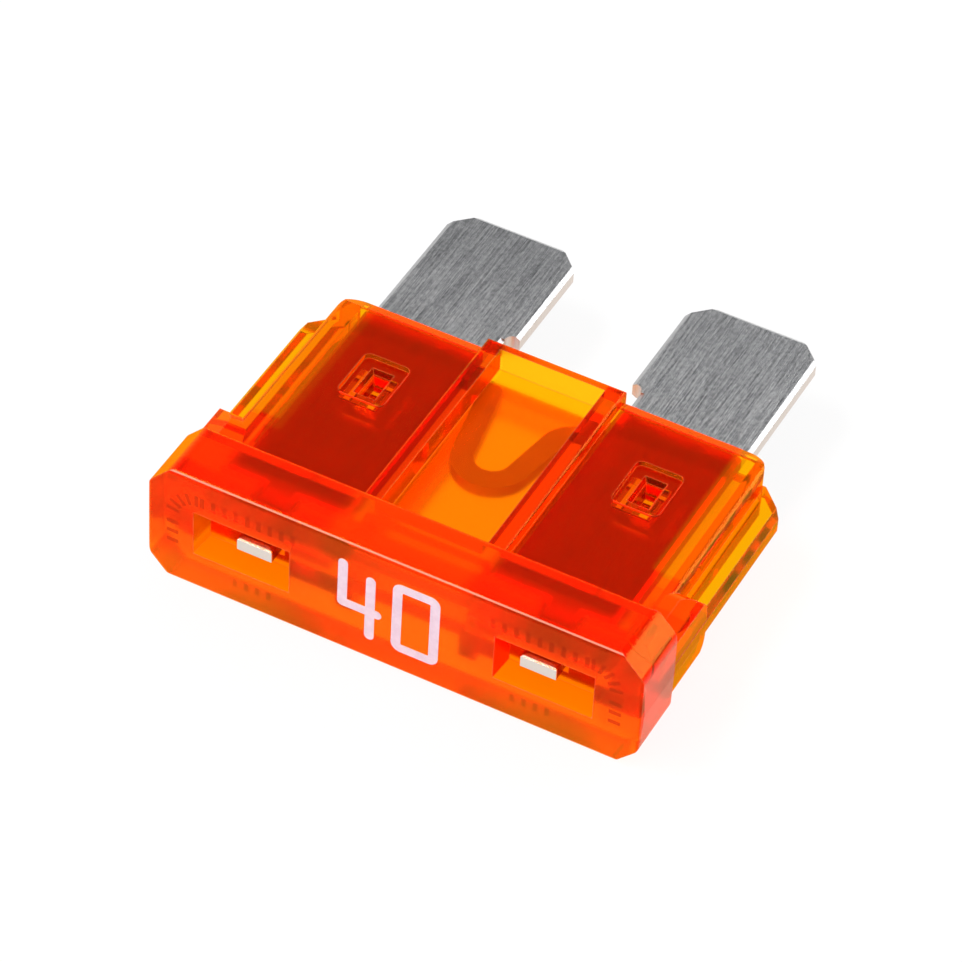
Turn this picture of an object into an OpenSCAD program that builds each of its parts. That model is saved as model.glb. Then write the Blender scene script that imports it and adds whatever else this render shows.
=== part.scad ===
// Automotive blade fuse: a translucent moulded housing around a one-piece stamped element.
// X runs across both blades, Y from the head's front face to the blade tips, Z through the thickness.

/* [Head] */
// Width of the head, shoulder to shoulder
head_width = 19.0; // [17.5:0.1:22]
// Thickness of the head
head_thickness = 5.1; // [4.4:0.1:6.5]
// Depth of the head, front face to back face
head_depth = 2.5; // [2.2:0.1:3.4]
// Leg of the chamfer on the head's long corners
head_chamfer = 0.9; // [0.5:0.05:1.3]
// Rounding where a chamfer meets its flats
chamfer_round = 0.5; // [0.1:0.05:0.8]
// Rounding of the front and back edges of the head
head_edge_round = 0.18; // [0.05:0.01:0.4]
// Draft of the head's sides, from the parting line outwards
head_draft = 0.05; // [0:0.01:0.12]

/* [Body] */
// Length of the housing, head front to open end
housing_length = 12.05; // [10.5:0.05:13.5]
// Width of the body over its side walls
body_width = 16.9; // [16.3:0.1:18]
// Thickness of the body over its flat panels
panel_thickness = 2.9; // [2.4:0.05:3.6]
// Rounding of the body's long outer edges
body_edge_round = 0.32; // [0.1:0.02:0.5]
// Rounding of the body's two open-end corners, seen from above
body_corner_round = 0.95; // [0.3:0.05:1.1]
// Length of the shallow bevel along the open end of each panel
end_bevel = 0.42; // [0.2:0.02:0.7]
// Drop of that bevel
end_bevel_drop = 0.16; // [0.05:0.01:0.3]

/* [Window] */
// Width of the window between the two ribs
window_width = 4.1; // [3.4:0.1:4.8]
// Width of each rib beside the window
rib_width = 0.68; // [0.5:0.02:1]
// Height of the ribs over the panels
rib_height = 0.45; // [0.2:0.05:0.8]
// Rounding of the ribs' top edges
rib_round = 0.12; // [0.05:0.01:0.2]
// Thickness of the window pane over the fusible link
pane_thickness = 0.55; // [0.4:0.05:0.8]
// Thickness of the wall that closes the window recess at the open end
end_wall = 0.35; // [0.25:0.05:0.6]

/* [Side wings] */
// Reach of each wing beyond the body's side
wing_reach = 1.0; // [0.5:0.05:1.1]
// Thickness of the wings
wing_thickness = 1.12; // [0.8:0.02:1.5]
// Thickness left at a wing's outer edge, under its bevels
wing_edge = 0.56; // [0.3:0.02:0.7]
// Width of the bevel along a wing's outer edge
wing_bevel = 0.2; // [0.1:0.02:0.3]
// Distance from a wing's far end to the open end of the housing
wing_setback = 0.55; // [0.1:0.05:1]
// Leg of the chamfer on a wing's far corner
wing_chamfer = 0.95; // [0.4:0.05:1]

/* [Lugs] */
// Reach of each lug beyond the body's side
lug_reach = 1.0; // [0.7:0.05:1.2]
// Length of each lug behind the head
lug_length = 2.45; // [1.8:0.05:3.2]
// Rounding of a lug's back end, seen from the side
lug_round = 0.8; // [0.4:0.05:1.1]
// Width of the level top of a lug, beyond the body's side
lug_level = 0.22; // [0.1:0.02:0.4]
// Drop of a lug's top from there to its outer face
lug_drop = 0.28; // [0.1:0.02:0.5]
// Draft of a lug's outer face, from the parting line outwards
lug_draft = 0.06; // [0:0.02:0.2]

/* [Test pockets] */
// Distance between the centres of the two test pockets
pocket_pitch = 11.6; // [11:0.1:12.4]
// Width of a test pocket at the front face
pocket_width = 3.75; // [3.2:0.05:4.2]
// Height of a test pocket at the front face
pocket_height = 1.95; // [1.6:0.05:2.4]
// Depth of a test pocket
pocket_depth = 0.95; // [0.6:0.05:1.3]
// Taper of each pocket wall over its depth
pocket_taper = 0.14; // [0:0.02:0.3]

/* [Blades] */
// Overall length of the fuse, head front to blade tips
overall_length = 19.2; // [18:0.1:21]
// Thickness of the element's sheet
blade_thickness = 0.65; // [0.5:0.01:0.8]
// Distance over both blades
blade_span = 14.9; // [14.2:0.1:15.2]
// Width of a blade
blade_width = 5.2; // [4.7:0.1:5.3]
// Leg of the chamfer on each corner of a blade tip
tip_chamfer = 0.88; // [0.4:0.02:1.1]
// Width of the coined bevel along a blade's edges
coin_width = 0.16; // [0.05:0.01:0.25]
// Depth of the coined bevel
coin_depth = 0.1; // [0.04:0.01:0.16]
// Step of the inner edge, from the blade to its narrower neck
shoulder_step = 0.46; // [0.2:0.02:0.7]
// Distance of that shoulder from the housing
shoulder_reach = 2.05; // [1:0.05:3]
// Rounding in the corner of the shoulder
shoulder_round = 0.3; // [0.1:0.02:0.4]
// Distance of the blades' inner ends from the head's front face
neck_start = 2.1; // [1.8:0.05:2.6]

/* [Test tabs] */
// Distance between the centres of the two test tabs
tab_pitch = 10.9; // [10.6:0.1:11.4]
// Width of a test tab
tab_width = 1.35; // [1:0.05:1.6]
// Recess of the tab's end behind the front face
tab_recess = 0.3; // [0.2:0.02:0.5]

/* [Fusible link] */
// Width of the link
link_width = 0.82; // [0.5:0.02:1]
// Thickness of the link, skived thinner than the sheet
link_thickness = 0.5; // [0.3:0.02:0.6]
// Mean radius of the link's bend
link_radius = 1.08; // [0.9:0.02:1.16]
// Distance of the bend's centre from the open end
link_bend_back = 4.05; // [3.5:0.05:4.4]
// Distance of the link's left foot from the open end
left_foot_back = 1.1; // [0.8:0.05:1.4]
// Distance of the link's right foot from the open end
right_foot_back = 1.5; // [0.9:0.05:1.6]
// Lean of each arm of the link, in degrees
link_lean = 10; // [6:1:12]
// Sideways place of the bend's centre, from the element's middle
link_offset = -0.15; // [-0.3:0.05:0.05]
// Radius of the elbow that leads the right arm to its foot
link_elbow = 0.86; // [0.6:0.02:0.9]

/* [Stakes] */
// Distance from a blade's centre line outwards to its stake
stake_offset = 0.5; // [0:0.05:0.8]
// Distance of the stakes from the open end
stake_back = 3.55; // [3:0.05:4.2]
// Width of the hole in the blade
hole_width = 1.5; // [1.4:0.02:1.6]
// Length of the hole in the blade
hole_length = 1.8; // [1.6:0.02:2]
// Width of the dimple around the stake
dimple_width = 1.8; // [1.5:0.05:2.1]
// Length of the dimple around the stake
dimple_length = 2.25; // [1.8:0.05:2.5]
// Rounding of the dimple's corners
dimple_round = 0.25; // [0.1:0.05:0.4]
// Depth of that dimple
dimple_depth = 0.2; // [0.1:0.02:0.4]
// Width of the stake's pit over its bevelled rim
pit_width = 0.88; // [0.8:0.02:1]
// Length of the stake's pit over its bevelled rim
pit_length = 1.44; // [1.2:0.02:1.5]
// Width of the bevel around the pit
pit_bevel = 0.11; // [0.04:0.01:0.16]
// Drop of that bevel
pit_bevel_drop = 0.2; // [0.1:0.02:0.3]
// Taper of each pit wall down to its floor
pit_taper = 0.03; // [0:0.01:0.08]
// Web left between the two pits of a stake
pit_web = 0.6; // [0.2:0.02:0.7]

/* [Fits] */
// How far the element sits to one side in its slot
element_set = -0.2; // [-0.2:0.05:0.2]
// Clearance over and under the element in its slot
slot_clearance = 0.05; // [0.02:0.01:0.1]
// Clearance beside the element in its slot
side_clearance = 0.35; // [0.25:0.01:0.45]
// Clearance around a stake in the blade's hole
stake_clearance = 0.03; // [0.02:0.01:0.06]
// Clearance around a test tab in its slot, across the width
tab_clearance = 0.15; // [0.06:0.01:0.4]
// Clearance over the link under the window pane
link_room = 0.15; // [0.1:0.01:0.3]
// Distance of the link's chamber from the head's front face
chamber_start = 2.6; // [2.3:0.1:5]

/* [Hidden] */
$fn = 48;
e = 0.01;
hw = head_width / 2;
hz = head_thickness / 2;
bw = body_width / 2;
bz = panel_thickness / 2;
rz = bz + rib_height;
wz = wing_thickness / 2;
bt = blade_thickness / 2;
rib_out = window_width / 2 + rib_width;
blade_out = blade_span / 2;
blade_in = blade_out - blade_width;
neck_in = blade_in + shoulder_step;
blade_mid = (blade_in + blade_out) / 2;
shoulder_y = housing_length + shoulder_reach;
slot_z = bt + slot_clearance;
cave_z = max(slot_z, link_thickness / 2 + link_room);
pane_z = cave_z + pane_thickness;
stake_x = blade_mid + stake_offset;
stake_y = housing_length - stake_back;
bend_y = housing_length - link_bend_back;
left_rise = link_bend_back - left_foot_back;
right_rise = link_bend_back - right_foot_back;
cave_y = min(chamber_start, bend_y - link_radius - link_width / 2 - link_room);
lug_y = head_depth + lug_length - lug_round;
wing_end = housing_length - wing_setback;

// Runs a section drawn in X and Z along Y, from y0 to y1.
module along_y(y0, y1) translate([0, y1, 0]) rotate([90, 0, 0]) linear_extrude(y1 - y0) children();

// Runs a section drawn in Y and Z along X, from x0 to x1.
module along_x(x0, x1) translate([x0, 0, 0]) rotate([90, 0, 90]) linear_extrude(x1 - x0) children();

// Runs an outline drawn in X and Y along Z, centred on the parting plane.
module across_z(t) translate([0, 0, -t / 2]) linear_extrude(t) children();

// Moves what is built from the head's front face and the parting plane to where the fuse lies.
module at_rest() translate([0, -overall_length / 2, hz]) children();

// Shifts the element, and what holds it, to one side of the slot.
module element_place() translate([element_set, 0, 0]) children();

module both_sides() {
    children();
    mirror([1, 0, 0]) children();
}

module top_and_bottom() {
    children();
    mirror([0, 0, 1]) children();
}

// Rectangle with rounded corners, centred in X and Y.
module soft_rect(w, h, r) {
    square([w - 2 * r, h], center = true);
    square([w, h - 2 * r], center = true);
    for (i = [-1, 1], j = [-1, 1]) translate([i * (w / 2 - r), j * (h / 2 - r)]) circle(r);
}

// Convex outline with each corner rounded: points anticlockwise, one radius.
module soft_outline(p, r) {
    n = len(p);
    function unit(v) = v / norm(v);
    function corner(i) = let (a = unit(p[(i + n - 1) % n] - p[i]), b = unit(p[(i + 1) % n] - p[i]),
        half = acos(a * b) / 2) [p[i] + a * r / tan(half), p[i] + unit(a + b) * r / sin(half),
        p[i] + b * r / tan(half)];
    polygon([for (i = [0 : n - 1]) each [corner(i)[0], corner(i)[2]]]);
    for (i = [0 : n - 1]) translate(corner(i)[1]) circle(r);
}

// Four-sided pit that narrows towards its floor, opening at z = 0 and going down.
module tapered_pit(w, l, depth, taper) {
    intersection() {
        along_y(-l / 2, l / 2) polygon([[-w / 2, 0], [w / 2, 0], [w / 2 - taper, -depth],
            [-w / 2 + taper, -depth]]);
        along_x(-w / 2, w / 2) polygon([[-l / 2, 0], [l / 2, 0], [l / 2 - taper, -depth],
            [-l / 2 + taper, -depth]]);
    }
}

module head_section() {
    c = head_chamfer;
    soft_outline([[hw - c, hz], [-hw + c, hz], [-hw + head_draft, hz - c], [-hw, 0],
        [-hw + head_draft, -hz + c], [-hw + c, -hz], [hw - c, -hz], [hw - head_draft, -hz + c],
        [hw, 0], [hw - head_draft, hz - c]], chamfer_round);
}

module head() {
    intersection() {
        along_y(0, head_depth) head_section();
        across_z(head_thickness + 1) translate([0, head_depth / 2])
            soft_rect(head_width, head_depth, head_edge_round);
        along_x(-hw, hw) translate([head_depth / 2, 0])
            soft_rect(head_depth, head_thickness, head_edge_round);
    }
}

// Body without its ribs: two long outer edges rounded, panel ends bevelled.
module body_block() {
    intersection() {
        along_y(head_depth / 2, housing_length) soft_rect(body_width, panel_thickness, body_edge_round);
        across_z(panel_thickness + 1) translate([0, housing_length / 2])
            soft_rect(body_width, housing_length, body_corner_round);
        along_x(-bw, bw) polygon([[0, -bz], [housing_length - end_bevel, -bz],
            [housing_length, -bz + end_bevel_drop], [housing_length, bz - end_bevel_drop],
            [housing_length - end_bevel, bz], [0, bz]]);
    }
}

module rib_block() {
    intersection() {
        along_y(head_depth / 2, housing_length) soft_rect(2 * rib_out, 2 * rz, rib_round);
        along_x(-rib_out, rib_out) translate([housing_length / 2, 0])
            soft_rect(housing_length, 2 * rz, rib_round);
    }
}

// Recess over the link, closed at the open end by a thin wall.
module window_recess() {
    w = window_width / 2;
    along_y(head_depth, housing_length - end_wall)
        polygon([[-w, pane_z], [w, pane_z], [w, rz + 1], [-w, rz + 1]]);
}

module wings() {
    intersection() {
        across_z(wing_thickness) polygon([[0, head_depth], [bw + wing_reach, head_depth],
            [bw + wing_reach, wing_end - wing_chamfer], [bw + wing_reach - wing_chamfer, wing_end],
            [0, wing_end]]);
        along_y(head_depth, wing_end) polygon([[0, -wz], [bw + wing_reach - wing_bevel, -wz],
            [bw + wing_reach, -wing_edge / 2], [bw + wing_reach, wing_edge / 2],
            [bw + wing_reach - wing_bevel, wz], [0, wz]]);
    }
}

// Lug that braces the head against the body's side, rounded at its back and drafted to both sides.
module lug() {
    out = bw + lug_reach;
    face = out - lug_draft;
    intersection() {
        along_x(bw / 2, out) {
            translate([head_depth / 2, -bz]) square([lug_y - head_depth / 2, panel_thickness]);
            translate([lug_y - e, -bz + lug_round])
                square([lug_round + e, panel_thickness - 2 * lug_round]);
            for (side = [-1, 1]) translate([lug_y, side * (bz - lug_round)]) circle(lug_round);
        }
        along_y(head_depth / 2, lug_y + lug_round) polygon([[0, -bz], [bw + lug_level, -bz],
            [face, -bz + lug_drop], [out, 0], [face, bz - lug_drop], [bw + lug_level, bz], [0, bz]]);
    }
}

// Space for the element, open at the blade end.
module element_cavity() {
    x1 = blade_out + side_clearance;
    x0 = neck_in - side_clearance;
    across_z(2 * slot_z) both_sides()
        translate([x0, neck_start - slot_clearance])
            square([x1 - x0, housing_length - neck_start + slot_clearance + e]);
    across_z(2 * cave_z) translate([-x0 - e, cave_y])
        square([2 * x0 + 2 * e, housing_length - cave_y + e]);
}

module pocket() {
    slot_w = tab_width + 2 * tab_clearance;
    slot_h = blade_thickness + 2 * slot_clearance;
    translate([pocket_pitch / 2, 0, 0]) rotate([90, 0, 0])
        tapered_pit(pocket_width, pocket_height, pocket_depth, pocket_taper);
    translate([tab_pitch / 2 - slot_w / 2, pocket_depth - e, -slot_h / 2])
        cube([slot_w, neck_start - pocket_depth + e, slot_h]);
}

// Material pressed through the blade's hole from both faces.
module stake_plug() {
    translate([stake_x, stake_y, 0]) across_z(2 * slot_z + 2 * e)
        square([hole_width - 2 * stake_clearance, hole_length - 2 * stake_clearance], center = true);
}

module stake_marks() {
    translate([stake_x, stake_y, 0]) {
        translate([0, 0, bz - dimple_depth]) linear_extrude(dimple_depth + e)
            soft_rect(dimple_width, dimple_length, dimple_round);
        translate([0, 0, bz - dimple_depth + e]) {
            tapered_pit(pit_width, pit_length, pit_bevel_drop + e, pit_bevel);
            tapered_pit(pit_width - 2 * pit_bevel, pit_length - 2 * pit_bevel,
                bz - dimple_depth + e - pit_web / 2, pit_taper);
        }
    }
}

module housing() {
    color([1, 0.33, 0.02, 0.8]) at_rest() difference() {
        union() {
            difference() {
                union() {
                    head();
                    body_block();
                    rib_block();
                    both_sides() {
                        wings();
                        lug();
                    }
                }
                element_cavity();
                both_sides() pocket();
            }
            element_place() both_sides() stake_plug();
        }
        top_and_bottom() {
            window_recess();
            both_sides() stake_marks();
        }
    }
}

// Outline of the right-hand half: neck, shoulder and blade.
module blade_outline() {
    t = tip_chamfer;
    difference() {
        union() {
            translate([neck_in, neck_start]) square([blade_out - neck_in, shoulder_y - neck_start + e]);
            polygon([[blade_in, shoulder_y], [blade_out, shoulder_y], [blade_out, overall_length - t],
                [blade_out - t, overall_length], [blade_in + t, overall_length],
                [blade_in, overall_length - t]]);
            translate([neck_in - shoulder_round, shoulder_y - shoulder_round]) difference() {
                square(shoulder_round + e);
                circle(shoulder_round);
            }
        }
        translate([stake_x, stake_y]) square([hole_width, hole_length], center = true);
    }
}

// Sheet section across one blade, its edges coined on both faces.
module coined_section(x0, x1) {
    w = coin_width;
    d = coin_depth;
    polygon([[x0, -bt + d], [x0 + w, -bt], [x1 - w, -bt], [x1, -bt + d], [x1, bt - d], [x1 - w, bt],
        [x0 + w, bt], [x0, bt - d]]);
}

module blade() {
    intersection() {
        across_z(blade_thickness) blade_outline();
        union() {
            along_y(0, shoulder_y - shoulder_round) coined_section(neck_in, blade_out);
            along_y(shoulder_y - shoulder_round - e, overall_length) coined_section(blade_in, blade_out);
        }
        along_x(0, blade_out) coined_section(neck_start, overall_length);
    }
}

// Narrow tongue at a blade's inner end, coined like the blade.
module tab() {
    x0 = (tab_pitch - tab_width) / 2;
    y1 = neck_start + 2 * coin_width;
    intersection() {
        along_y(tab_recess, y1) coined_section(x0, x0 + tab_width);
        along_x(x0, x0 + tab_width) coined_section(tab_recess, y1 + 2 * coin_width);
    }
}

// Bent strip of the link: a bend with two leaning arms, each ending in a foot on its blade. The right
// arm reaches its foot over an elbow.
module link_outline() {
    half = link_width / 2;
    w = link_radius + half + e;
    c = cos(link_lean);
    k = sin(link_lean);
    arm = (right_rise - link_elbow + (link_radius + link_elbow) * k) / c;
    right = (link_radius + link_elbow) * c + arm * k;
    left = link_radius * c + (left_rise + link_radius * k) * k / c;
    root = neck_in + coin_width + e;
    translate([link_offset, bend_y]) {
        difference() {
            circle(link_radius + half);
            circle(link_radius - half);
            polygon([[0, 0], [w, -w * k / c], [w, w], [-w, w], [-w, -w * k / c]]);
        }
        rotate(link_lean) translate([-link_radius - half, -e])
            square([link_width, (left_rise + link_radius * k) / c + e]);
        rotate(-link_lean) translate([link_radius - half, -e]) square([link_width, arm + 2 * e]);
        rotate(-link_lean) translate([link_radius + link_elbow, arm]) intersection() {
            difference() {
                circle(link_elbow + half);
                circle(link_elbow - half);
            }
            polygon([[0, 0], [e - w * k / c, w], [-w, w], [-w, 0]]);
        }
        translate([right - e, right_rise - half]) square([root - link_offset - right + e, link_width]);
        translate([-left, left_rise]) circle(half);
        translate([-root - link_offset, left_rise - half]) square([root + link_offset - left, link_width]);
    }
}

module fuse_element() {
    color([0.72, 0.72, 0.73]) at_rest() {
        element_place() {
            both_sides() blade();
            across_z(link_thickness) link_outline();
        }
        both_sides() tab();
    }
}

housing();
fuse_element();
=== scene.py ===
import math

import bmesh
import bpy
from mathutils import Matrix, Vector


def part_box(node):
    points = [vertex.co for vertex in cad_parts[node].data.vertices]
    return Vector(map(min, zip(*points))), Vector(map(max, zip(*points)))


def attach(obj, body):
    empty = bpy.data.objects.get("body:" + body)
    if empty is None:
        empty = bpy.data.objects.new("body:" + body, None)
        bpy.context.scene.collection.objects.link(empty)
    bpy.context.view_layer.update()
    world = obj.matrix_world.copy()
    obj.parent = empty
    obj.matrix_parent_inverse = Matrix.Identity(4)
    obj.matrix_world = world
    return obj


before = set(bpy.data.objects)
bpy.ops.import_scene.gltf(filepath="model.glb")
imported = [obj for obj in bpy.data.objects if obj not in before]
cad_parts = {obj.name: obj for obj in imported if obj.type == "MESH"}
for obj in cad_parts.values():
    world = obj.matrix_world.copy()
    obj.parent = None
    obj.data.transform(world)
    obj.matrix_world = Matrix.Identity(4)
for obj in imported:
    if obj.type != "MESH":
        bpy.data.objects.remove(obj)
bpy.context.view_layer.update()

MM = 0.001
MIDDLE = 2.55
HEAD_FRONT = -9.6
HEAD_BACK = -7.1
TICK_FLANK = 0.05
AIR_GAP = 0.00003
EDGE_ROUND = 0.00006

# The number printed on the head's front face, in mm from the middle of that face.
INK_WIDTH = 0.37
INK_SUNK = 0.03
INK_PROUD = 0.004
CAP_STEPS = 10
FOUR = {"left": -1.865, "left_top": 1.52, "bar": -0.31, "bar_end": -0.53,
        "right": -0.79, "right_top": 1.165, "right_foot": -1.42}
NOUGHT = {"left": 0.235, "right": 1.67, "top": 1.41, "foot": -1.41,
          "outer_round": 0.36, "inner_round": 0.04}

# The camera, as the photograph was taken.
CAMERA_PLACE = (0.05268364, -0.11429693, 0.12246289)
CAMERA_TURN = (45.88019, -2.59807, 27.88083)
CAMERA_LENS = 186.3075
SENSOR_WIDTH = 36.0


# Shader maths

class Value:
    """One socket of a material. Arithmetic on it adds Math nodes."""

    def __init__(self, tree, socket):
        self.tree = tree
        self.socket = socket

    def math(self, operation, *others, clamp=False):
        sockets = {0: self}
        for place, other in enumerate(others, 1):
            sockets[place] = other
        return node(self.tree, "ShaderNodeMath", {"operation": operation, "use_clamp": clamp}, sockets)

    def reflected(self, operation, first):
        return node(self.tree, "ShaderNodeMath", {"operation": operation}, {0: first, 1: self})

    def __add__(self, other):
        return self.math("ADD", other)

    def __sub__(self, other):
        return self.math("SUBTRACT", other)

    def __mul__(self, other):
        return self.math("MULTIPLY", other)

    def __truediv__(self, other):
        return self.math("DIVIDE", other)

    def __pow__(self, other):
        return self.math("POWER", other)

    def __gt__(self, other):
        return self.math("GREATER_THAN", other)

    def __lt__(self, other):
        return self.math("LESS_THAN", other)

    def __radd__(self, other):
        return self.reflected("ADD", other)

    def __rsub__(self, other):
        return self.reflected("SUBTRACT", other)

    def __rmul__(self, other):
        return self.reflected("MULTIPLY", other)

    def __rtruediv__(self, other):
        return self.reflected("DIVIDE", other)

    def __neg__(self):
        return self.reflected("MULTIPLY", -1.0)

    def __abs__(self):
        return self.math("ABSOLUTE")


def node(tree, kind, settings=None, sockets=None, out=0):
    """Adds a node: its settings first, then its sockets' values or links. Returns one of its outputs."""
    made = tree.nodes.new(kind)
    for name, setting in (settings or {}).items():
        if name == "stops":
            ramp = made.color_ramp
            while len(ramp.elements) < len(setting):
                ramp.elements.new(0.5)
            for element, (place, colour) in zip(ramp.elements, setting):
                element.position = place
                element.color = (*colour, 1.0)
        else:
            setattr(made, name, setting)
    for name, value in (sockets or {}).items():
        socket = made.inputs[name]
        if isinstance(value, Value):
            tree.links.new(value.socket, socket)
        else:
            socket.default_value = value
    return Value(tree, made.outputs[out])


def smooth_step(value, low, high):
    return node(value.tree, "ShaderNodeMapRange", {"interpolation_type": "SMOOTHSTEP"},
                {"Value": value, "From Min": low, "From Max": high, "To Min": 0.0, "To Max": 1.0})


def mix_colour(factor, first, second):
    tree = factor.tree
    return node(tree, "ShaderNodeMix", {"data_type": "RGBA"}, {0: factor, 6: first, 7: second}, out=2)


def rgb(red, green, blue):
    return (red, green, blue, 1.0)


def new_material(name):
    material = bpy.data.materials.new(name)
    material.use_nodes = True
    tree = material.node_tree
    tree.nodes.clear()
    output = tree.nodes.new("ShaderNodeOutputMaterial")
    return material, tree, output


def place_in_mm(tree):
    """The point's place on the part, in mm, whole and as its three numbers."""
    place = node(tree, "ShaderNodeTexCoord", out=3)
    scaled = node(tree, "ShaderNodeVectorMath", {"operation": "SCALE"}, {"Vector": place, "Scale": 1 / MM})
    split = tree.nodes.new("ShaderNodeSeparateXYZ")
    tree.links.new(scaled.socket, split.inputs[0])
    return scaled, [Value(tree, split.outputs[i]) for i in range(3)]


def stretched(tree, place, across):
    """Place scaled by a different number along each axis, so that a noise on it becomes streaks."""
    return node(tree, "ShaderNodeVectorMath", {"operation": "MULTIPLY"}, {0: place, 1: across})


def noise(tree, place, scale, detail=3.0, roughness=0.55):
    return node(tree, "ShaderNodeTexNoise", {"noise_dimensions": "3D"},
                {"Vector": place, "Scale": scale, "Detail": detail, "Roughness": roughness})


# Materials

def between(value, low, high, soft):
    """One where the value lies between two limits, falling to nothing over a soft margin."""
    return smooth_step(value, low - soft, low) * smooth_step(value, high + soft, high)


def facing(tree):
    """The surface's own direction, as its three numbers."""
    direction = node(tree, "ShaderNodeNewGeometry", out=1)
    split = tree.nodes.new("ShaderNodeSeparateXYZ")
    tree.links.new(direction.socket, split.inputs[0])
    return [Value(tree, split.outputs[i]) for i in range(3)]


def tick_row(x, z, first, pitch, count, level, width, height):
    """Small bars side by side, in the place of moulded marks: a repeated soft-edged rectangle."""
    along = (x - (first - pitch / 2)) / pitch
    from_middle = abs(along.math("FRACT") - 0.5) * pitch
    row = between(along, 0.0, float(count), 0.001)
    return (smooth_step(from_middle, width / 2, width / 2 - TICK_FLANK)
            * smooth_step(abs(z - level), height / 2, height / 2 - TICK_FLANK) * row)


def tick_fan(x, z, centre_x, centre_z, radius, first, pitch, count, width, height):
    """The same bars, set around a corner of the face."""
    across, up = x - centre_x, z - centre_z
    turn = up.math("ARCTAN2", across) * (180 / math.pi)
    along = (turn - (first - pitch / 2)) / pitch
    distance = (across * across + up * up) ** 0.5
    from_middle = abs(along.math("FRACT") - 0.5) * (pitch * math.pi / 180) * distance
    fan = between(along, 0.0, float(count), 0.001)
    return (smooth_step(from_middle, width / 2, width / 2 - TICK_FLANK)
            * smooth_step(abs(distance - radius), height / 2, height / 2 - TICK_FLANK) * fan)


def moulded_marks(x, y, z):
    """Plain bars around each pocket of the front face, where a maker would put lettering."""
    out = abs(x)
    up = z - MIDDLE
    marks = (tick_row(out, up, 3.82, 0.44, 9, 1.56, 0.23, 0.52)
             + tick_fan(out, up, 7.55, 0.62, 0.94, 9.0, 20.0, 5, 0.2, 0.56)
             + tick_row(up, out, -0.72, 0.44, 3, 8.49, 0.23, 0.52)
             + tick_row(out, up, 4.7, 0.44, 4, -1.56, 0.23, 0.42))
    return marks * smooth_step(y, HEAD_FRONT + 0.1, HEAD_FRONT + 0.05)


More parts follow.
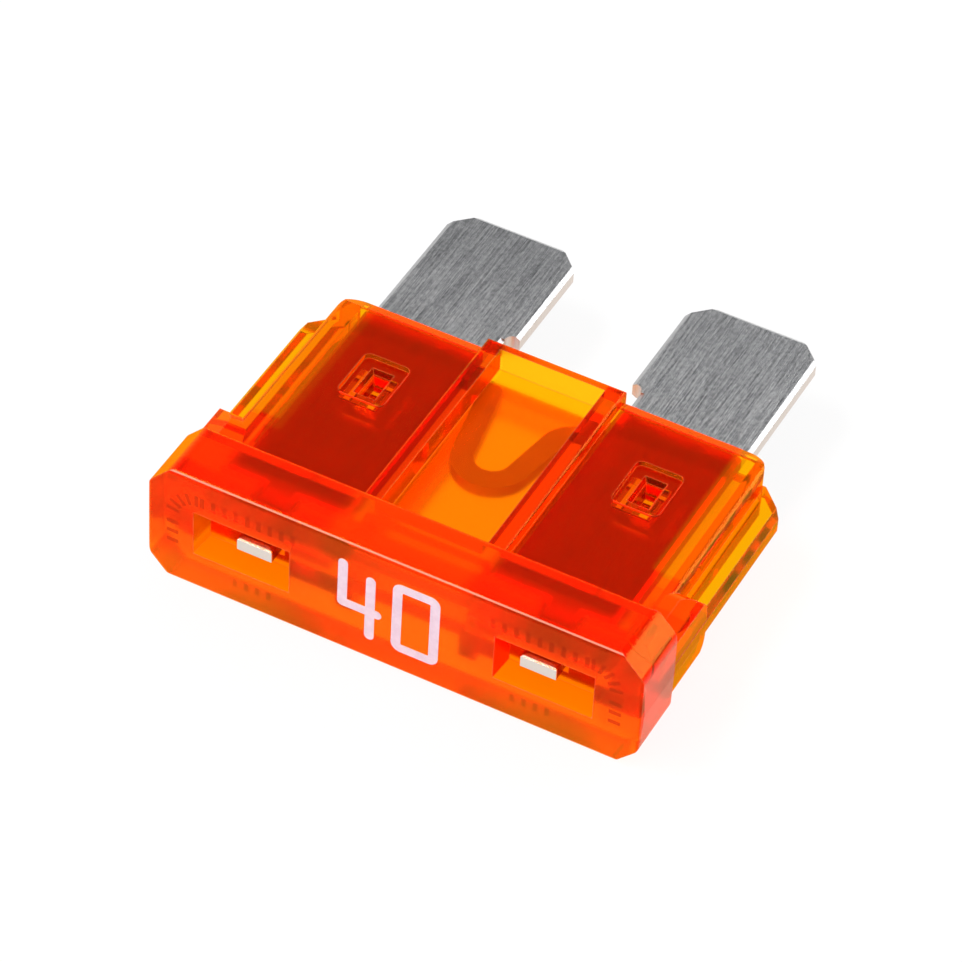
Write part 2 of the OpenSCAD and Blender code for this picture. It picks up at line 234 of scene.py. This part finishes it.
def orange_plastic():
    """Clear orange moulding: light that goes further through it comes out redder."""
    material, tree, output = new_material("orange_plastic")
    place, (x, y, z) = place_in_mm(tree)
    turned = [abs(part) for part in facing(tree)]
    flat = turned[0].math("MAXIMUM", turned[1]).math("MAXIMUM", turned[2])
    bent = smooth_step(flat, 0.995, 0.97)
    out = abs(x)
    level = abs(z - MIDDLE)
    head = smooth_step(y, HEAD_BACK + 0.02, HEAD_BACK - 0.02)
    head_back = smooth_step(turned[1], 0.6, 0.9) * between(y, HEAD_BACK - 0.1, HEAD_BACK + 0.02, 0.1)
    body = 1 - head
    ribs = between(out, 2.1, 2.7, 0.1) * smooth_step(level, 1.3, 1.5) * body
    window = smooth_step(out, 2.1, 2.0) * body
    far = smooth_step(y, -4.0, 2.2)
    stake = (between(out, 4.4, 6.3, 0.02) * between(y, -2.3, 0.1, 0.02)
             * between(MIDDLE - z, 0.36, 1.35, 0.02))
    ripple = noise(tree, place, 0.7, 1.0)
    haze = noise(tree, place, 2.2, 1.0)
    front = smooth_step(y, -9.4, -9.5)
    parting = smooth_step(level, 0.05, 0.0)
    marks = moulded_marks(x, y, z)
    side = smooth_step(turned[0], 0.8, 0.9)
    outer_side = side * body * smooth_step(out, 7.6, 7.8)
    lug = between(y, -7.1, -4.7, 0.05) * smooth_step(out, 7.3, 7.5)
    head_chamfer = head * smooth_step(out, 7.2, 7.6) * between(turned[0], 0.4, 0.85, 0.05)
    relief = ripple * 0.25 + parting * 0.02
    soft_edges = node(tree, "ShaderNodeBevel", {"samples": 2}, {"Radius": EDGE_ROUND})
    bump = node(tree, "ShaderNodeBump", None,
                {"Strength": 1.0, "Distance": 0.00002, "Height": relief, "Normal": soft_edges})
    straight = node(tree, "ShaderNodeNewGeometry", out=1)
    agreement = abs(node(tree, "ShaderNodeVectorMath", {"operation": "DOT_PRODUCT"},
                         {0: soft_edges, 1: straight}, out=1))
    # The rim mask marks the edges that get the painted highlight below.
    rim = smooth_step(agreement, 0.99, 0.88)
    clear = mix_colour(haze, rgb(1.0, 0.98, 0.9), rgb(1.0, 1.0, 1.0))
    pane = mix_colour(far, rgb(1.0, 0.8, 0.5), rgb(1.0, 0.82, 0.5))
    # Painted shade: the ribs are tinted deep red, standing in for the light they lose inside the plastic.
    tint = mix_colour(ribs, clear, rgb(0.97, 0.1, 0.06))
    tint = mix_colour(window, tint, pane)
    # Painted shade: the plastic around each stake is tinted dark red, as if the metal behind it shaded it.
    tint = mix_colour(stake, tint, rgb(0.45, 0.06, 0.1))
    tint = mix_colour(head, tint, rgb(1.0, 1.0, 0.9))
    tint = mix_colour(head_back, tint, rgb(1.0, 0.8, 0.4))
    # Painted shade: the lugs and the body's outer side faces are tinted darker red than the rest.
    tint = mix_colour(lug, tint, rgb(1.0, 0.5, 0.35))
    tint = mix_colour(outer_side * (1 - lug), tint, rgb(0.85, 0.3, 0.2))
    # Painted shade: the head's end chamfers are tinted redder, dimming their pale reflection.
    tint = mix_colour(head_chamfer, tint, rgb(1.0, 0.6, 0.45))
    # Painted shade: the head's top and bottom faces are tinted redder than its front.
    head_top = head * smooth_step(level, 2.4, 2.5) * smooth_step(out, 2.3, 3.0) * (1 - front)
    tint = mix_colour(head_top, tint, rgb(0.98, 0.72, 0.6))
    # Painted shade: the bars are tinted dark red, standing in for the shading of moulded relief.
    tint = mix_colour(marks, tint, rgb(0.40, 0.055, 0.035))
    seam = parting * smooth_step(turned[0], 0.6, 0.8)
    tint = mix_colour(seam * 0.7, tint, rgb(0.4, 0.05, 0.03))
    # Painted glow: the head, window, wings, lugs and outer sides give off a faint orange light of their own,
    # strongest at the lower front of the head.
    low_end = front * smooth_step(z, 2.0, 0.6) * smooth_step(out, 1.5, 5.5)
    wings = smooth_step(out, 7.1, 7.3) * smooth_step(y, -4.6, -4.4)
    head_painted_glow = mix_colour(smooth_step(out, 2.0, 4.0), rgb(0.12, 0.020, 0.0), rgb(0.10, 0.004, 0.0))
    head_painted_glow = mix_colour(low_end, head_painted_glow, rgb(0.12, 0.075, 0.0))
    painted_glow = mix_colour(head * (1 - head_top) * (1 - side), rgb(0.0, 0.0, 0.0), head_painted_glow)
    painted_glow = mix_colour(window, painted_glow, rgb(0.08, 0.016, 0.0))
    painted_glow = mix_colour(wings, painted_glow, rgb(0.03, 0.05, 0.0))
    painted_glow = mix_colour(lug.math("MAXIMUM", outer_side), painted_glow, rgb(0.10, 0.006, 0.002))
    glass = node(tree, "ShaderNodeBsdfPrincipled", None, {
        "Base Color": tint,
        "Roughness": 0.05 + 0.05 * haze + 0.17 * head * (1 - bent) + 0.10 * window,
        "IOR": 1.57,
        "Transmission Weight": 1.0,
        "Specular IOR Level": 0.35,
        "Specular Tint": rgb(1.0, 0.3, 0.05),
        "Coat Weight": 1.0 - 0.68 * side * head,
        "Coat Roughness": 0.03,
        "Coat IOR": 1.0,
        "Coat Tint": rgb(1.0, 0.95, 0.4),
        # The emission is the painted glow set above.
        "Emission Color": painted_glow,
        "Emission Strength": 1.0,
        "Normal": bump,
    })
    lamp_light = node(tree, "ShaderNodeBsdfTransparent", None, {"Color": rgb(0.96, 0.9, 0.82)})
    for_lamps = node(tree, "ShaderNodeLightPath", out=1)
    # Painted highlight: a pale pink skin is mixed in along the edges, strongest on the head's top front edge.
    front_edge_highlight = between(turned[1], 0.6, 0.76, 0.1) * head * smooth_step(y, -9.2, -9.3)
    front_edge_highlight = front_edge_highlight * (0.15 + 0.27 * smooth_step(z, 3.0, 4.5))
    painted_highlight = node(tree, "ShaderNodeBsdfPrincipled", None, {
        "Base Color": mix_colour(front_edge_highlight * 3.0, rgb(1.0, 0.26, 0.07), rgb(1.0, 0.55, 0.38)),
        "Roughness": 0.3,
    })
    skin = node(tree, "ShaderNodeMixShader", None, {0: (rim * 0.4).math("MAXIMUM", front_edge_highlight), 1: glass, 2: painted_highlight})
    surface = node(tree, "ShaderNodeMixShader", None, {0: for_lamps, 1: skin, 2: lamp_light})
    inside = node(tree, "ShaderNodeVolumeAbsorption", None,
                  {"Color": rgb(0.9995, 0.86, 0.0), "Density": 5000.0})
    tree.links.new(surface.socket, output.inputs["Surface"])
    tree.links.new(inside.socket, output.inputs["Volume"])
    return material


def tinned_metal():
    """Rolled and tinned sheet: fine brushing along the blades, paler sheared edges."""
    material, tree, output = new_material("tinned_metal")
    place, (x, y, z) = place_in_mm(tree)
    brushing = noise(tree, stretched(tree, place, (13.0, 0.45, 13.0)), 1.0, 6.0, 0.75)
    fine = noise(tree, stretched(tree, place, (34.0, 0.9, 34.0)), 1.0, 3.0, 0.7)
    blotches = noise(tree, place, 0.9, 3.0)
    shear = noise(tree, stretched(tree, place, (16.0, 16.0, 0.8)), 1.0, 4.0)
    turned = [abs(part) for part in facing(tree)]
    edge = smooth_step(turned[2], 0.6, 0.3)
    speckle = noise(tree, stretched(tree, place, (7.0, 5.0, 7.0)), 1.0, 2.0, 0.6)
    flat_tone = (smooth_step(brushing, 0.35, 0.65) * 0.46 + smooth_step(fine, 0.35, 0.65) * 0.28
                 + smooth_step(speckle, 0.3, 0.7) * 0.26)
    sheet = mix_colour(flat_tone, rgb(0.15, 0.155, 0.16), rgb(0.60, 0.60, 0.60))
    # Painted shade: the sheet darkens towards the blade tips.
    sheet = mix_colour(smooth_step(y, 4.5, 9.0) * 0.3, sheet, rgb(0.16, 0.165, 0.17))
    coined = between(turned[2], 0.6, 0.93, 0.04) * smooth_step(y, 2.4, 2.5)
    # Painted highlight: the coined bevels are paler than the flats.
    sheet = mix_colour(coined * 0.4, sheet, rgb(0.66, 0.66, 0.67))
    cut = mix_colour(shear, rgb(0.62, 0.53, 0.46), rgb(0.80, 0.72, 0.66))
    # Painted shade and orange light: the metal shut inside the housing is painted red, and brown at the link,
    # standing in for the shade and the orange light that reach it through the plastic.
    shut_in = smooth_step(y, -8.4, -8.3) * smooth_step(y, 2.55, 2.45)
    shaded_red = mix_colour(fine, rgb(0.56, 0.02, 0.01), rgb(0.64, 0.03, 0.01))
    shaded_brown = mix_colour(fine, rgb(0.46, 0.18, 0.045), rgb(0.55, 0.23, 0.06))
    link = smooth_step(abs(x), 2.75, 2.65)
    shut_in_shade = mix_colour(link, shaded_red, shaded_brown)
    prong = smooth_step(y, -8.3, -8.4)
    prong_end = smooth_step(turned[1], 0.7, 0.9)
    # Painted highlight and shade: the prong tips are painted near-white, and their parts further in dark red.
    prong_light_and_shade = mix_colour(smooth_step(y, -9.22, -9.25), rgb(0.34, 0.06, 0.04), rgb(0.95, 0.95, 0.97))
    prong_light_and_shade = mix_colour(prong_end, prong_light_and_shade, mix_colour(shear, rgb(0.70, 0.66, 0.60), rgb(0.78, 0.74, 0.68)))
    bare = mix_colour(prong, mix_colour(edge, sheet, cut), prong_light_and_shade)
    colour = mix_colour(shut_in, bare, shut_in_shade)
    height = flat_tone * (1 - edge) + shear * edge
    bump = node(tree, "ShaderNodeBump", None,
                {"Strength": 0.5, "Distance": 0.000015, "Height": height})
    metal = node(tree, "ShaderNodeBsdfPrincipled", None, {
        "Base Color": colour,
        "Metallic": 1.0,
        "Roughness": 0.26 + 0.1 * flat_tone + 0.06 * blotches + 0.06 * edge - 0.12 * prong * (1 - prong_end),
        "Normal": bump,
    })
    tree.links.new(metal.socket, output.inputs["Surface"])
    return material


def white_ink():
    material, tree, output = new_material("white_ink")
    place, _ = place_in_mm(tree)
    blotches = noise(tree, place, 3.5, 4.0)
    speckle = noise(tree, place, 30.0, 2.0)
    cover = smooth_step(blotches * 0.7 + speckle * 0.3, 0.3, 0.7)
    bump = node(tree, "ShaderNodeBump", None,
                {"Strength": 0.3, "Distance": 0.00001, "Height": cover})
    ink = node(tree, "ShaderNodeBsdfPrincipled", None, {
        "Base Color": mix_colour(cover, rgb(0.72, 0.55, 0.66), rgb(0.82, 0.66, 0.76)),
        "Roughness": 0.5 + 0.1 * speckle,
        "Normal": bump,
    })
    tree.links.new(ink.socket, output.inputs["Surface"])
    return material


def pale_floor():
    """White table top. Seen directly it is lifted towards white, and it keeps the fuse's shadow."""
    material, tree, output = new_material("pale_floor")
    place, _ = place_in_mm(tree)
    mottle = noise(tree, place, 0.02, 3.0)
    top = node(tree, "ShaderNodeBsdfDiffuse", None,
               {"Color": mix_colour(mottle, rgb(0.93, 0.93, 0.93), rgb(0.95, 0.95, 0.95))})
    white = node(tree, "ShaderNodeEmission", None, {"Color": rgb(1.0, 1.0, 1.0), "Strength": 1.0})
    camera = node(tree, "ShaderNodeLightPath", out=0)
    glossy = node(tree, "ShaderNodeLightPath", out=3)
    through = node(tree, "ShaderNodeLightPath", out=6)
    lift = (camera * 0.88).math("MAXIMUM", glossy * 0.9).math("MAXIMUM", through)
    surface = node(tree, "ShaderNodeMixShader", None, {0: lift, 1: top, 2: white})
    tree.links.new(surface.socket, output.inputs["Surface"])
    return material


def paint(obj, material):
    obj.data.materials.clear()
    obj.data.materials.append(material)


# Printed number

def arc(centre, radius, start, end):
    """Points of a circle's arc in the face's plane, angles in degrees, counter-clockwise if end > start."""
    turn = [math.radians(start + (end - start) * i / CAP_STEPS) for i in range(CAP_STEPS + 1)]
    return [(centre[0] + radius * math.cos(t), centre[1] + radius * math.sin(t)) for t in turn]


def four_outline():
    half = INK_WIDTH / 2
    f = FOUR
    left, right, bar = f["left"], f["right"], f["bar"]
    return (
        arc((left, f["left_top"]), half, 180, 0)
        + [(left + half, bar + half), (right - half, bar + half)]
        + arc((right, f["right_top"]), half, 180, 0)
        + [(right + half, bar + half)]
        + arc((f["bar_end"], bar), half, 90, -90)
        + [(right + half, bar - half)]
        + arc((right, f["right_foot"]), half, 0, -180)
        + [(right - half, bar - half)]
        + arc((left, bar), half, 270, 180)
    )


def rounded_rectangle(left, right, foot, top, radius):
    corners = [((right - radius, top - radius), 90, 0), ((right - radius, foot + radius), 0, -90),
               ((left + radius, foot + radius), -90, -180), ((left + radius, top - radius), 180, 90)]
    points = []
    for centre, start, end in corners:
        points += arc(centre, radius, start, end)
    return points


def ink_vertex(mesh, point, depth):
    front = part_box("housing")[0].y
    middle = (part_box("housing")[0].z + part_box("housing")[1].z) / 2
    return mesh.verts.new((point[0] * MM, front + depth * MM, middle + point[1] * MM))


def printed_digit(name, outline, hole=None):
    """A thin film of ink with square edges, pressed into the face by a hair."""
    mesh = bmesh.new()
    loops = []
    for points in (outline, hole):
        if points:
            loops.append([[ink_vertex(mesh, p, depth) for p in points] for depth in (-INK_PROUD, INK_SUNK)])
    for level in (0, 1):
        rings = [loop[level] for loop in loops]
        if hole:
            count = len(rings[0])
            for i in range(count):
                j = (i + 1) % count
                mesh.faces.new((rings[0][i], rings[0][j], rings[1][j], rings[1][i]))
        else:
            mesh.faces.new(rings[0])
    for near, far in loops:
        count = len(near)
        for i in range(count):
            j = (i + 1) % count
            mesh.faces.new((near[i], near[j], far[j], far[i]))
    bmesh.ops.recalc_face_normals(mesh, faces=mesh.faces)
    bmesh.ops.triangulate(mesh, faces=[f for f in mesh.faces if len(f.verts) > 4])
    data = bpy.data.meshes.new(name)
    mesh.to_mesh(data)
    mesh.free()
    digit = bpy.data.objects.new(name, data)
    bpy.context.scene.collection.objects.link(digit)
    return digit


def print_number(ink):
    half = INK_WIDTH / 2
    n = NOUGHT
    ring = rounded_rectangle(n["left"] - half, n["right"] + half, n["foot"] - half, n["top"] + half,
                             n["outer_round"])
    gap = rounded_rectangle(n["left"] + half, n["right"] - half, n["foot"] + half, n["top"] - half,
                            n["inner_round"])
    for digit in (printed_digit("digit_four", four_outline()), printed_digit("digit_nought", ring, gap)):
        paint(digit, ink)
        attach(digit, "root")


# Studio

def floor():
    """The table top, a hair below the fuse, so that the plastic keeps the air under it."""
    bpy.ops.mesh.primitive_grid_add(x_subdivisions=8, y_subdivisions=8, size=3.0)
    top = bpy.context.object
    top.name = "floor"
    top.location.z = -AIR_GAP
    paint(top, pale_floor())


def softbox(name, place, target, width, height, power, colour=(1.0, 1.0, 1.0)):
    light = bpy.data.lights.new(name, "AREA")
    light.shape = "RECTANGLE"
    light.size = width
    light.size_y = height
    light.energy = power
    light.color = colour
    lamp = bpy.data.objects.new(name, light)
    lamp.location = place
    lamp.rotation_euler = (Vector(target) - Vector(place)).to_track_quat("-Z", "Y").to_euler()
    bpy.context.scene.collection.objects.link(lamp)


def studio_world():
    world = bpy.data.worlds.new("studio")
    world.use_nodes = True
    tree = world.node_tree
    tree.nodes.clear()
    output = tree.nodes.new("ShaderNodeOutputWorld")
    direction = node(tree, "ShaderNodeTexCoord", out=0)
    split = tree.nodes.new("ShaderNodeSeparateXYZ")
    tree.links.new(direction.socket, split.inputs[0])
    height = Value(tree, split.outputs[2])
    glossy = node(tree, "ShaderNodeLightPath", out=3)
    sky = smooth_step(height, 0.25, 0.65)
    shade = mix_colour(sky, rgb(1.0, 1.0, 1.0), rgb(0.30, 0.30, 0.31))
    colour = mix_colour(glossy, rgb(1.0, 1.0, 1.0), shade)
    diffuse = node(tree, "ShaderNodeLightPath", out=2)
    light = node(tree, "ShaderNodeBackground", None, {"Color": colour, "Strength": 1.0})
    soft = node(tree, "ShaderNodeBackground", None, {"Color": rgb(1.0, 1.0, 1.0), "Strength": 0.6})
    surface = node(tree, "ShaderNodeMixShader", None, {0: diffuse, 1: light, 2: soft})
    tree.links.new(surface.socket, output.inputs["Surface"])
    bpy.context.scene.world = world


def camera():
    data = bpy.data.cameras.new("camera")
    data.lens = CAMERA_LENS
    data.sensor_width = SENSOR_WIDTH
    data.sensor_fit = "HORIZONTAL"
    data.clip_start = 0.005
    data.clip_end = 20.0
    body = bpy.data.objects.new("camera", data)
    body.location = CAMERA_PLACE
    body.rotation_euler = [math.radians(a) for a in CAMERA_TURN]
    bpy.context.scene.collection.objects.link(body)
    bpy.context.scene.camera = body


def studio():
    floor()
    studio_world()
    camera()
    centre = (0.0, 0.0, 0.003)
    softbox("key_light", (-0.25, -0.10, 0.45), centre, 0.22, 0.16, 1.4)
    softbox("back_light", (0.15, 0.45, 0.30), centre, 0.35, 0.12, 1.2)
    softbox("front_light", (-0.14, -0.29, 0.27), centre, 0.10, 0.25, 0.35)
    softbox("side_light", (0.29, 0.27, 0.14), centre, 0.08, 0.14, 0.18)
    scene = bpy.context.scene
    scene.view_settings.view_transform = "Standard"
    scene.cycles.max_bounces = 9
    scene.cycles.transmission_bounces = 9
    scene.cycles.glossy_bounces = 6
    scene.cycles.transparent_max_bounces = 12
    scene.cycles.volume_bounces = 0


paint(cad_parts["housing"], orange_plastic())
paint(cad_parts["fuse_element"], tinned_metal())
print_number(white_ink())
studio()
